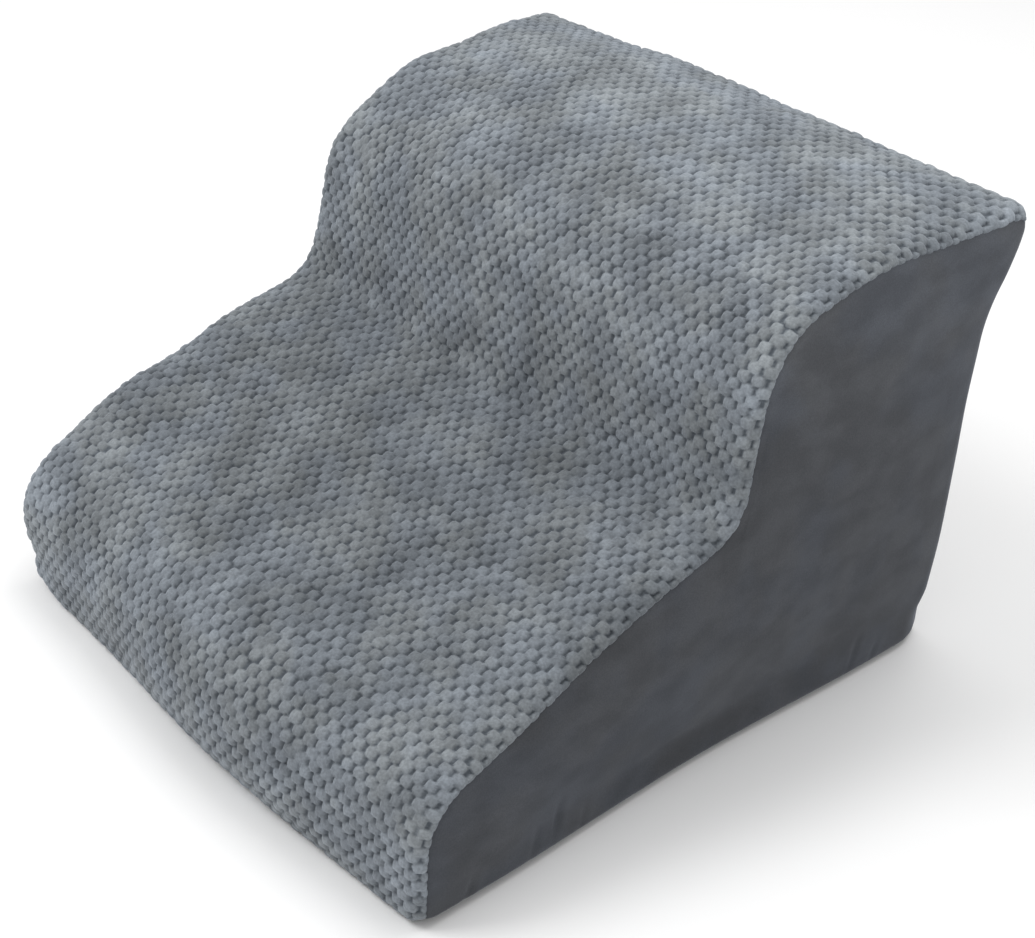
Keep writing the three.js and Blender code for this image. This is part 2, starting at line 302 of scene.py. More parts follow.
# Where the cover sits away from the foam's plain shape. Places and reaches are in half widths, half lengths
# and heights of the ramp, from the middle of its foot, and pulls are in millimetres.
SAGS = (
    # place, reach, pull
    ((-1.0, 0.36, 0.85), (0.75, 0.74, 0.60), (20, 4, -4)),  # the upper tread's left edge is drawn in
    ((-1.0, 1.0, 1.0), (0.70, 0.50, 0.40), (8, -7, -4)),  # its back corner most of all
    ((-1.0, 0.36, 0.93), (0.35, 0.24, 0.16), (-6, -1, 3)),  # but the shoulder's left end is full
    ((-1.0, -0.62, 0.32), (0.35, 0.36, 0.22), (-6, 0, 5)),  # the nose's left end stands out
    ((-1.0, -0.28, 0.42), (0.26, 0.26, 0.24), (-5, 0, 1)),  # and so does the lower tread's
    ((0.15, -1.0, 0.0), (0.90, 0.35, 0.55), (0, -18, 0)),  # the front hem bulges in the middle
    ((1.0, 0.02, 0.0), (0.40, 0.80, 0.30), (-10, 0, 0)),  # the right hem is drawn in
    ((1.0, -0.35, 0.42), (0.30, 0.55, 0.25), (-4, 0, 1.5)),  # and so is the lower tread's right edge
    ((1.0, 0.20, 0.80), (0.35, 0.35, 0.30), (-4, 0, 2)),  # the shoulder's right end too
    ((1.0, 0.75, 1.0), (0.25, 0.35, 0.30), (2, 0, -7)),  # the crown's right edge is slack
    ((1.0, 1.0, 0.95), (0.30, 0.28, 0.25), (7, 5, -1)),  # a full corner at the back's top right
    ((1.0, -1.0, 0.0), (0.16, 0.14, 0.12), (0, 1, 0.4)),  # the front corners' hems lift off the floor
    ((-1.0, -1.0, 0.0), (0.24, 0.20, 0.16), (9, 6, 6)),
    ((1.0, 1.0, 0.0), (0.14, 0.13, 0.14), (-7, -8, 6)),  # the back's bottom corners are round
    ((-1.0, 1.0, 0.0), (0.14, 0.13, 0.14), (7, -8, 6)),
)


def free_of_zip(points):
    """0 round the zip, which lies flat and straight, and 1 from a little way off."""
    above = ramp(points[..., 2], 46 * MM, 80 * MM)
    before = ramp(BACK - points[..., 1], 20 * MM, 60 * MM)
    beside = ramp(np.abs(points[..., 0]), 185 * MM, 197 * MM)
    return np.maximum(np.maximum(above, before), beside)[..., None]


def sag(points):
    """Points of the cover, moved to where it has settled."""
    at = points / [HALF, BACK, TOP]
    shift = np.zeros(points.shape)
    for place, reach, pull in SAGS:
        near = np.clip(np.abs(at - place) / reach, 0, 1)
        shift += (np.cos(near * math.pi / 2) ** 2).prod(-1)[..., None] * np.array(pull) * MM
    x, y, z = (points[..., i] / MM for i in range(3))
    # Three low waves of wrinkles: their size, how fast they run each way, and where they start
    for size, across, along, up, start in (
        (0.6, 1 / 34, 1 / 41, 1 / 37, 0.4),
        (0.4, 1 / 21, -1 / 24, 1 / 19, 2.1),
        (0.2, -1 / 11, 1 / 13, 1 / 12, 4.0),
    ):
        wave = size * MM * np.sin(across * x + along * y + up * z + start)
        shift += wave[..., None] * [0.6, 0.5, 0.8]
    rise = ramp(points[..., 2], 2 * MM, 30 * MM)
    keep = np.stack([0.4 + 0.6 * rise, 0.4 + 0.6 * rise, rise], axis=-1)
    lift = np.clip(shift[..., 2:], 0, None) * (1 - rise[..., None])
    shift = shift * keep + lift * [0, 0, 0.6]
    return points + shift * free_of_zip(points)


BODY_GRAIN = 6 * MM  # the size of the simulated body's faces
SLACK_MOST = 3.5 * MM  # how far the simulated cloth may stand off the settled shape


def covered_body():
    """The cover's whole outer shape as one closed mesh object, of small even faces."""
    turns = np.linspace(0, math.pi / 2, 5)[1:]
    level = np.linspace(-1, 1, 60) * (HALF - SIDE_ROUND)
    rounded = HALF - SIDE_ROUND * (1 - np.sin(turns))
    steps = np.unique(np.concatenate([-rounded, level, rounded]))
    y, z, ny, nz = line_at(np.linspace(0, LINE_LENGTH, 160))
    points = []
    for x in steps:
        inset = fall(HALF - abs(x), SIDE_ROUND)
        line = np.stack([y - ny * inset, z - nz * inset], axis=1)
        foot = [[BACK - inset, HEM], [BACK - inset - 8 * MM, MM], [FRONT + inset + 10 * MM, MM]]
        ring = np.concatenate([line, foot])
        points.append(np.column_stack([np.full(len(ring), x), ring]))
    count = len(points[0])
    faces = []
    for step in range(len(steps) - 1):
        for i in range(count):
            after = (i + 1) % count
            first = step * count
            faces.append((first + i, first + after, first + count + after, first + count + i))
    faces.append(tuple(range(count)))
    faces.append(tuple(reversed(range((len(steps) - 1) * count, len(steps) * count))))
    mesh = bpy.data.meshes.new("covered_body")
    mesh.from_pydata(np.concatenate(points).tolist(), [], faces)
    body = placed("covered_body", mesh)
    remesh = body.modifiers.new("grain", "REMESH")
    remesh.mode = "VOXEL"
    remesh.voxel_size = BODY_GRAIN
    applied(body)
    return body


def applied(piece):
    """Turns a piece's modifiers into its mesh."""
    graph = bpy.context.evaluated_depsgraph_get()
    made = bpy.data.meshes.new_from_object(piece.evaluated_get(graph))
    piece.modifiers.clear()
    piece.data = made


def places_of(mesh):
    """A mesh's points as an array."""
    places = np.empty(len(mesh.vertices) * 3, np.float32)
    mesh.vertices.foreach_get("co", places)
    return places.reshape(-1, 3).astype(float)


def put(mesh, places):
    """Moves a mesh's points."""
    mesh.vertices.foreach_set("co", places.astype(np.float32).ravel())
    mesh.update()


def simulated(body):
    """How far each of the body's points moves when its skin is let go as cloth over air."""
    start = places_of(body.data)
    held = body.vertex_groups.new(name="held")
    grip = 1 - ramp(start[:, 2], HEM, HEM + 25 * MM)
    grip = np.maximum(grip, 1 - free_of_zip(start)[:, 0])
    for point, weight in enumerate(grip.tolist()):
        held.add([point], weight, "REPLACE")
    cloth = body.modifiers.new("cloth", "CLOTH")
    cloth.settings.quality = 5
    cloth.settings.mass = 0.2
    cloth.settings.tension_stiffness = 12
    cloth.settings.compression_stiffness = 12
    cloth.settings.shear_stiffness = 6
    cloth.settings.bending_stiffness = 0.6
    cloth.settings.vertex_group_mass = "held"
    cloth.settings.use_pressure = True
    cloth.settings.uniform_pressure_force = 0.5
    cloth.settings.effector_weights.gravity = 0
    cloth.point_cache.frame_start = 1
    cloth.point_cache.frame_end = 20
    for frame_number in range(1, 21):
        bpy.context.scene.frame_set(frame_number)
    applied(body)
    bpy.context.scene.frame_set(1)
    shift = places_of(body.data) - start
    size = np.linalg.norm(shift, axis=1, keepdims=True)
    return shift * SLACK_MOST / (SLACK_MOST + size)


class Slack:
    """The simulated cloth's shift, found anywhere near the body's points."""

    def __init__(self, rest, shift):
        self.shift = shift
        self.tree = KDTree(len(rest))
        for i, place in enumerate(rest):
            self.tree.insert(place, i)
        self.tree.balance()

    def at(self, grid):
        """The shift at a grid of points, sampled here and there and smoothed between."""
        rows, columns = (
            np.unique(np.linspace(0, n - 1, max(2, n // 4)).astype(int)) for n in grid.shape[:2]
        )
        found = np.empty((len(rows), len(columns), 3))
        for i, row in enumerate(rows):
            for j, column in enumerate(columns):
                near = self.tree.find_n(Vector(grid[row, column]), 4)
                weights = np.array([1 / (MM + distance) for _, _, distance in near])
                found[i, j] = weights @ self.shift[[index for _, index, _ in near]] / weights.sum()
        found = np.apply_along_axis(smooth, 0, found, 1.2)
        found = np.apply_along_axis(smooth, 1, found, 1.2)
        wide = np.apply_along_axis(lambda line: np.interp(range(grid.shape[1]), columns, line), 1, found)
        return np.apply_along_axis(lambda line: np.interp(range(grid.shape[0]), rows, line), 0, wide)


def settle(grid):
    """A grid of points on the cover, moved to where the soft cover sits."""
    settled = sag(grid)
    if SLACK is not None:
        settled = settled + SLACK.at(grid) * free_of_zip(grid)
    return settled


# ---- Meshes ----

def placed(name, data):
    """A new object in the scene."""
    thing = bpy.data.objects.new(name, data)
    bpy.context.scene.collection.objects.link(thing)
    return thing


def unit(vectors):
    return vectors / np.maximum(np.linalg.norm(vectors, axis=-1, keepdims=True), 1e-12)


def normals_of(grid, outward):
    """A unit normal at each point of a grid of points, on the side that outward says."""
    normals = unit(np.cross(np.gradient(grid, axis=1), np.gradient(grid, axis=0)))
    return normals if (normals.mean((0, 1)) * outward).sum() > 0 else -normals


TUCK_TURNS = np.radians([28, 58])  # two rows of points round the fold
TUCK_DROP = 1.2 * MM  # how far below its fold a turned edge runs on


def tucked(grid, out, axis, radius, under):
    """A grid and its normals with its two edges across an axis turned under. under says how far each then
    runs on beneath its neighbour."""
    grid, out = np.swapaxes(grid, 0, axis), np.swapaxes(out, 0, axis)
    rings, normals = [], []
    place = np.arange(grid.shape[1])
    full = ramp(np.minimum(place, place[::-1]), 3, 12)[:, None]  # at its corners a sheet runs on less
    for last, beside, run in ((0, 1, under[0]), (-1, -2, under[1])):
        edge, normal = grid[last], out[last]
        away = edge - grid[beside]
        away = unit(away - (away * normal).sum(-1, keepdims=True) * normal)
        turned = [edge + radius * (math.sin(a) * away - (1 - math.cos(a)) * normal) for a in TUCK_TURNS]
        facing = [math.cos(a) * normal + math.sin(a) * away for a in TUCK_TURNS]
        beyond = radius * (0.4 + 0.6 * full) + run * full
        rings.append(turned + [edge + beyond * away - (radius + TUCK_DROP) * normal])
        normals.append(facing + [normal if run > 0 else away])
    grid = np.concatenate([rings[0][::-1], grid, rings[1]])
    out = np.concatenate([normals[0][::-1], out, normals[1]])
    return np.swapaxes(grid, 0, axis), np.swapaxes(out, 0, axis)


def dress(piece, look, body="cover"):
    """Gives a piece its only material, and the body that it rides on."""
    piece.data.materials.clear()
    piece.data.materials.append(look)
    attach(piece, body)


def smooth_faces(mesh):
    mesh.polygons.foreach_set("use_smooth", np.ones(len(mesh.polygons), bool))


def new_piece(name, points, faces, look, slot):
    """A mesh piece with smooth faces, riding on the cover."""
    mesh = bpy.data.meshes.new(name)
    mesh.from_pydata(points.tolist(), [], faces.tolist())
    smooth_faces(mesh)
    piece = placed(name, mesh)
    dress(piece, look)
    return piece


def closed_grid(outer, inner):
    """The points and quads of a closed sheet between two grids of points of one shape."""
    rows, columns = outer.shape[:2]
    top = np.arange(rows * columns).reshape(rows, columns)
    under = top + rows * columns

    def quads(a):
        return np.stack([a[:-1, :-1], a[:-1, 1:], a[1:, 1:], a[1:, :-1]], axis=-1).reshape(-1, 4)

    ring = np.concatenate([top[0, :], top[1:, -1], top[-1, -2::-1], top[-2:0:-1, 0]])
    after = np.roll(ring, -1)
    low = rows * columns
    rim = np.stack([ring, ring + low, after + low, after], axis=1)
    faces = np.concatenate([quads(top), quads(under)[:, ::-1], rim])
    points = np.concatenate([outer.reshape(-1, 3), inner.reshape(-1, 3)])
    a, b, c, d = (points[faces[:, i]] for i in range(4))
    volume = (np.cross(a, b) * c).sum() + (np.cross(a, c) * d).sum()
    return points, faces if volume > 0 else faces[:, ::-1]


def gathered(parts):
    """One set of points and faces from many."""
    points, faces, count = [], [], 0
    for some_points, some_faces in parts:
        points.append(some_points)
        faces.append(some_faces + count)
        count += len(some_points)
    return np.concatenate(points), np.concatenate(faces)


def tube_faces(rings, sides):
    """The quads that close a stack of rings of points into one solid."""
    index = np.arange(rings * sides).reshape(rings, sides)
    along = np.roll(index, -1, axis=1)
    walls = np.stack([index[:-1], along[:-1], along[1:], index[1:]], axis=-1).reshape(-1, 4)
    first, last = index[0], index[-1]
    caps = []
    for i in range(1, sides - 2, 2):
        caps.append([first[0], first[i + 2], first[i + 1], first[i]])
        caps.append([last[0], last[i], last[i + 1], last[i + 2]])
    return np.concatenate([walls, np.array(caps)])


def tube(path, radius, sides):
    """The points and quads of a round tube along a path, with its ends drawn to a close."""
    ahead = unit(np.gradient(path, axis=0))
    side = unit(np.cross(ahead, [0.31, 0.22, 0.92]))
    up = np.cross(ahead, side)
    turn = np.linspace(0, 2 * math.pi, sides, endpoint=False)
    ring = side[:, None] * np.cos(turn)[None, :, None] + up[:, None] * np.sin(turn)[None, :, None]
    thick = np.full(len(path), radius)
    thick[[0, -1]] = 0.25 * radius
    points = path[:, None] + ring * thick[:, None, None]
    return points.reshape(-1, 3), tube_faces(len(path), sides)


def cloth_piece(name, node, grid, outward, look, under=((3, 3), (3, 3)), slot="velvet"):
    """A closed sheet of cloth that stands for a CAD node, with its edges turned into the seams. under gives
    how many millimetres they run on there: low and high edge, then left and right."""
    out = normals_of(grid, outward)
    for axis in (0, 1):
        grid, out = tucked(grid, out, axis, 0.8 * MM, np.array(under[axis]) * MM)
    points, faces = closed_grid(grid, grid - out * VELVET)
    piece = new_piece(name, points, faces, look, slot)
    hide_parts(node)


# ---- Plush ----

def nub_height(w, s, rng):
    """The pile's height at places on the strip, 1 on an even nub, and a random tone for each nub."""
    columns = int(2 * STRIP_HALF / NUB_ACROSS) + 3 * SPARE_NUBS
    rows = int(PLUSH_LENGTH / NUB_ROW) + 3 * SPARE_NUBS
    shift_w, shift_s = rng.normal(0, 0.3 * MM, (2, rows, columns))
    tall = 1 + rng.normal(0, 0.08, (rows, columns))
    wide = 1 + rng.normal(0, 0.045, (rows, columns))
    shade = rng.random((rows, columns))
    across = (w + STRIP_HALF) / NUB_ACROSS + (SPARE_NUBS + 0.25)
    along = s / NUB_ROW + SPARE_NUBS
    best, tone, total = np.zeros((3, *w.shape))
    for row_step in (-1, 0, 1):
        row = np.rint(along).astype(int) + row_step
        stagger = 0.5 * (row % 2)
        for column_step in (0, 1):
            column = np.floor(across - stagger).astype(int) + column_step
            pick = (np.clip(row, 0, rows - 1), np.clip(column, 0, columns - 1))
            dw = (across - stagger - column) * NUB_ACROSS + shift_w[pick]
            ds = (along - row) * NUB_ROW + shift_s[pick]
            reach = np.abs(dw / (NUB_HALF_WIDTH * wide[pick])) ** NUB_SQUARENESS
            reach = reach + np.abs(ds / (NUB_HALF_LENGTH * wide[pick])) ** NUB_SQUARENESS
            height = tall[pick] * np.clip(1 - reach**1.15, 0, None) ** 0.5  # a dome
            weight = height**6 + 1e-9
            tone += weight * shade[pick]
            total += weight
            best = np.maximum(best, height)
    return best, tone / total


def make_tread(look):
    """The plush strip: one closed sheet with every nub in its outer face."""
    columns = int(round(2 * STRIP_HALF / NUB_ACROSS * 9)) + 1
    rows = int(round(PLUSH_LENGTH / NUB_ROW * 5)) + 1
    across = np.linspace(-STRIP_HALF, STRIP_HALF, columns)
    along = np.linspace(0, PLUSH_LENGTH, rows)
    skin = settle(tread_skin(*np.meshgrid(across, along)))
    out = normals_of(skin, (0, -1, 1))
    radius = 1.2 * MM
    for axis in (0, 1):
        skin, out = tucked(skin, out, axis, radius, (2 * MM, 2 * MM))
    under = np.array([0.5, 1.0, 3.0]) * radius
    across = np.concatenate([across[0] - under[::-1], across, across[-1] + under])
    along = np.concatenate([along[0] - under[::-1], along, along[-1] + under])
    w, s = np.meshgrid(across, along)
    height, tone = nub_height(w, s, np.random.default_rng(11))
    beyond = np.maximum(np.abs(w) - STRIP_HALF, np.abs(s - PLUSH_LENGTH / 2) - PLUSH_LENGTH / 2)
    height = height * np.clip(1 - beyond / (3 * MM), 0, 1)
    points, faces = closed_grid(skin + out * (height * PILE)[..., None], skin - out * BACKING)
    piece = new_piece("plush_tread", points, faces, look, "plush")
    # The pile attribute falls to root colour within 2 mm past the strip's edges: painted shade in the
    # turned-under fold.
    pile_with_tuck_shade = height * np.clip(1 - beyond / (2 * MM), 0, 1)
    for label, values in (("pile", pile_with_tuck_shade), ("tone", tone), ("walk", s / PLUSH_LENGTH)):
        attribute = piece.data.attributes.new(label, "FLOAT", "POINT")
        attribute.data.foreach_set("value", np.tile(values.ravel(), 2).astype(np.float32))
    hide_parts("tread_panel")


# ---- Velvet sides and back, and the base ----

# Small slanting creases over each side's hem, in millimetres: how far along, how high, how deep
CREASES = (
    (-186, 26, 0.8),
    (-140, 34, 0.7),
    (-124, 48, 0.9),
    (-101, 30, 0.6),
    (128, 40, 0.6),
    (150, 26, 0.5),
)


def creased(grid):
    """The side's skin with small creases pressed into its lower edge."""
    y, z = grid[..., 1] / MM, grid[..., 2] / MM
    depth = np.zeros(y.shape)
    for along, high, deep in CREASES:
        off = y - along - 0.22 * z - 2 * np.sin(z / 9)
        share = np.clip(z / high, 0, 1)
        depth += deep * np.exp(-((off / 2.2) ** 2)) * np.sin(share * math.pi) ** 2
        depth -= 0.5 * deep * np.exp(-(((off - 5) / 3.5) ** 2)) * np.sin(share * math.pi) ** 2
    grid = grid.copy()
    grid[..., 0] -= depth * MM
    return grid


def make_sides(look):
    """The two velvet sides, inside the plush strip's edges."""
    right = side_grid(230, 120)
    under = ((0, 3), (3, 3))
    for name, side in (("right", 1), ("left", -1)):
        grid = settle(creased(right) * [side, 1, 1])
        cloth_piece(f"velvet_side_{name}", f"side_panel_{name}", grid, (side, 0, 0), look, under)


def make_back(look):
    """The velvet back above the zip, and the strip of it below. Both are folded under at the zip."""
    columns = 221
    top = tread_skin(np.linspace(-STRIP_HALF, STRIP_HALF, columns), np.full(columns, PLUSH_LENGTH))
    grid = back_grid(ZIP_HIGH, top[:, 2], columns, 120)
    rise = np.linspace(0, 1, len(grid))[:, None, None] ** 3
    grid = settle(grid + (top - grid[-1]) * rise)
    cloth_piece("velvet_back", "back_panel", grid, (0, 1, 0), look, under=((0, 3), (3, 3)))
    grid = settle(back_grid(HEM, ZIP_LOW, columns, 14))
    cloth_piece("velvet_back_foot", "back_strip", grid, (0, 1, 0), look, under=((0, 0), (3, 3)))


HEM_INSET = 1.2 * MM
RIM_HIGH = 4.5 * MM  # the base's rim is held up inside the hem
RIM_WIDE = 14 * MM  # how far in from the hem it starts to rise
DOT_HIGH = 1.0 * MM
DOT_ROOT = 1.3 * DOT_HIGH  # each dot starts a little way inside the cloth
DOT_RADIUS = 1.7 * MM
DOT_SIDES = 10
DOT_APART = 11 * MM
DOTS_INSET = 17 * MM  # the dots stay this far inside the foot's edges


def rubber_dot(x, y):
    """The points and quads of one low round dot, which narrows towards the floor."""
    turn = np.linspace(0, 2 * math.pi, DOT_SIDES, endpoint=False)
    ring = np.stack([np.cos(turn), np.sin(turn)], axis=1)
    points = []
    for level, share in ((0.0, 0.3), (0.1, 0.7), (0.45, 0.95), (1.0, 1.0)):
        height = np.full(DOT_SIDES, DOT_ROOT * level)
        points.append(np.column_stack([ring * DOT_RADIUS * share + [x, y], height]))
    return np.concatenate(points), tube_faces(len(points), DOT_SIDES)


def make_base(look, rubber):
    """The non-slip underside: black cloth, and the rubber dots that it stands on."""
    columns, rows = 121, 131
    front = tread_skin(np.linspace(-STRIP_HALF, STRIP_HALF, columns), np.zeros(columns))
    right, _, _, back = side_edges(rows, 12)
    corner = back[0]
    across = np.linspace(-corner[0], corner[0], columns)
    rear_y = BACK - fall(HALF - np.abs(across), BACK_ROUND)
    rear = np.stack([across, rear_y, np.full(columns, HEM)], axis=-1)
    rear[0], rear[-1] = corner * [-1, 1, 1], corner
    grid = patch(front, rear, right * [-1, 1, 1], right)
    grid[..., :2] *= 1 - HEM_INSET / HALF
    edge = np.minimum(HALF - np.abs(grid[..., 0]), np.minimum(grid[..., 1] - FRONT, BACK - grid[..., 1]))
    grid[..., 2] = DOT_HIGH + (RIM_HIGH - DOT_HIGH) * np.clip(1 - edge / RIM_WIDE, 0, 1) ** 2
    under = ((0, 0), (0, 0))
    grid = settle(grid)
    cloth_piece("base_cloth", "base_panel", grid, (0, 0, -1), look, under=under, slot="non_slip")
    dots = []
    reach = int(HALF / DOT_APART) + 2
    for row in range(-reach, reach + 1):
        for column in range(-reach, reach + 1):
            x = (column + 0.5 * (row % 2)) * DOT_APART
            y = row * DOT_APART * math.sqrt(3) / 2
            if abs(x) <= HALF - DOTS_INSET and abs(y) <= BACK - DOTS_INSET:
                dots.append(rubber_dot(x, y))
    new_piece("rubber_dots", *gathered(dots), rubber, "non_slip")


# ---- Foam ----

FOAM_INSET = 4.5 * MM  # how far inside the cover's skin it stays
FOAM_FROM_BACK = 6.5 * MM  # clear of the zip
FOAM_HIGH = 8 * MM  # clear of the base's rim


def make_foam(body, rest, look):
    """The foam block, a little inside the cover's skin."""
    body.name = "foam_block"
    body.data.name = "foam_block"
    body.vertex_groups.clear()
    put(body.data, rest)
    normals = np.empty(len(rest) * 3, np.float32)
    body.data.vertices.foreach_get("normal", normals)
    inner = sag(rest) - normals.reshape(-1, 3) * FOAM_INSET
    inner[:, 1] = np.minimum(inner[:, 1], BACK - FOAM_FROM_BACK)
    inner[:, 2] = np.maximum(inner[:, 2], FOAM_HIGH)
    put(body.data, inner)
    smooth_faces(body.data)
    dress(body, look)
    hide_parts("foam_core")


# ---- Zip ----

COIL_PITCH = 1.45 * MM
FILAMENT = 0.32 * MM
THREAD = 0.24 * MM
ZIP_GAP = 0.9 * MM  # between the two coils, just wide enough for the slider's post
STITCH_APART = 3.4 * MM


def to_middle(bottom, top):
    """A tape's or a coil's heights, with its inner edge brought close to the other one's."""
    if bottom > ZIP_MIDDLE:
        return ZIP_MIDDLE + ZIP_GAP / 2, top
    return bottom, ZIP_MIDDLE - ZIP_GAP / 2


def make_tape(name, node, look):
    """A woven tape of the zip."""
    columns, rows = 385, 14
    low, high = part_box(node)
    bottom, top = to_middle(low.z, high.z)
    length = np.linspace(low.x + 4 * MM, high.x - 4 * MM, columns)
    x, z = np.meshgrid(length, np.linspace(bottom, top, rows))
    grid = np.stack([x, np.full(x.shape, high.y), z], axis=-1)
    twill = (np.arange(rows)[:, None] + np.arange(columns)) % 4 < 2
    grid[..., 1] -= 0.08 * MM * twill
    inner = grid.copy()
    inner[..., 1] = low.y
    piece = new_piece(name, *closed_grid(grid, inner), look, "zip_tape")
    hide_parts(node)


def make_coil(name, node, side, look):
    """A coil of nylon filament, wound about a line beside the zip's middle."""
    low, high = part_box(node)
    turns = (high.x - low.x - 2 * MM) / COIL_PITCH
    angle = np.linspace(0, 2 * math.pi * turns, int(turns * 12))
    x = low.x + MM + angle / (2 * math.pi) * COIL_PITCH + (0.5 * COIL_PITCH if side > 0 else 0)
    bottom, top = to_middle(low.z, high.z)
    half_y = (high.y - low.y) / 2 - FILAMENT
    half_z = (top - bottom) / 2 - FILAMENT
    round_y = np.sign(np.cos(angle)) * np.abs(np.cos(angle)) ** 0.7
    y = (low.y + high.y) / 2 + half_y * round_y
    path = np.stack([x, y, (bottom + top) / 2 + half_z * np.sin(angle)], axis=1)
    piece = new_piece(name, *tube(path, FILAMENT, 6), look, "zip_coil")
    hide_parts(node)


def stitch_row(x_from, x_to, y, z):
    """A row of stitches along X on a face of the back."""
    share = np.linspace(0, math.pi, 5)
    stitches = []
    for x in np.arange(x_from, x_to, STITCH_APART):
        run = x + (0.5 - np.cos(share) / 2) * 0.8 * STITCH_APART
        path = np.stack([run, y + THREAD * (1.7 * np.sin(share) - 1.0), np.full(5, z)], axis=1)
        stitches.append(tube(path, THREAD, 6))
    return stitches


def make_stitching(look):
    """The zip's two rows of stitches, through the folded edges of the velvet and the tapes."""
    inset = 2.6 * MM
    reach = HALF - BACK_ROUND - 2 * MM
    rows = []
    for z in (ZIP_LOW - inset, ZIP_HIGH + inset):
        rows += stitch_row(-reach, reach, BACK, z)
    new_piece("zip_stitching", *gathered(rows), look, "velvet")


def softened(node, look, body, width=0.3 * MM):
    """A copy of a small metal CAD part with its sharp edges rounded off, which stands for it."""
    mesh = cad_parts[node].data.copy()
    shape = bmesh.new()
    shape.from_mesh(mesh)
    bmesh.ops.remove_doubles(shape, verts=shape.verts, dist=1e-6)
    bmesh.ops.dissolve_limit(shape, angle_limit=math.radians(1), verts=shape.verts, edges=shape.edges)
    sharp_from = math.radians(35)
    sharp = [edge for edge in shape.edges if edge.is_manifold and edge.calc_face_angle(0) > sharp_from]
    bmesh.ops.bevel(
        shape, geom=sharp, offset=width, segments=2, profile=0.5, affect="EDGES", clamp_overlap=True
    )
    bmesh.ops.triangulate(shape, faces=shape.faces)
    shape.to_mesh(mesh)
    shape.free()
    piece = placed(f"{node}_finished", mesh)
    dress(piece, look, body)
    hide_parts(node)


def make_zip(looks):
    metal = looks["zip_metal"]
    for side, name in ((1, "upper"), (-1, "lower")):
        make_tape(f"woven_tape_{name}", f"zip_tape_{name}", looks["zip_tape"])
        make_coil(f"nylon_coil_{name}", f"zip_coil_{name}", side, looks["zip_coil"])
    make_stitching(looks["thread"])
    for node in ("zip_bottom_stop", "zip_top_stop_upper", "zip_top_stop_lower"):
        softened(node, metal, "cover")
    for node in ("zip_slider", "zip_slider_crown"):
        softened(node, metal, "slider")
    softened("zip_pull", metal, "pull", 0.2 * MM)


# ---- Care label ----

def make_label(look):
    """The blank care label: satin ribbon folded in two, lying against the back."""
    low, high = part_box("care_label")
    left = low.x + 3 * MM
    thick = 0.28 * MM
    along, height = np.meshgrid(np.linspace(0, 1, 60), np.linspace(low.z, high.z, 29))
    lift = 0.5 * MM + 1.1 * MM * np.sin(along * 2.6) ** 2 * (0.6 + 0.4 * np.sin(height / (13 * MM)))
    outer = np.stack([left + (high.x - left) * along, BACK + thick + lift, height], axis=-1)
    outer = settle(outer)
    inner = outer - [0, thick, 0]
    piece = new_piece("satin_label", *closed_grid(outer, inner), look, "label")
    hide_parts("care_label")


# ---- Looks ----

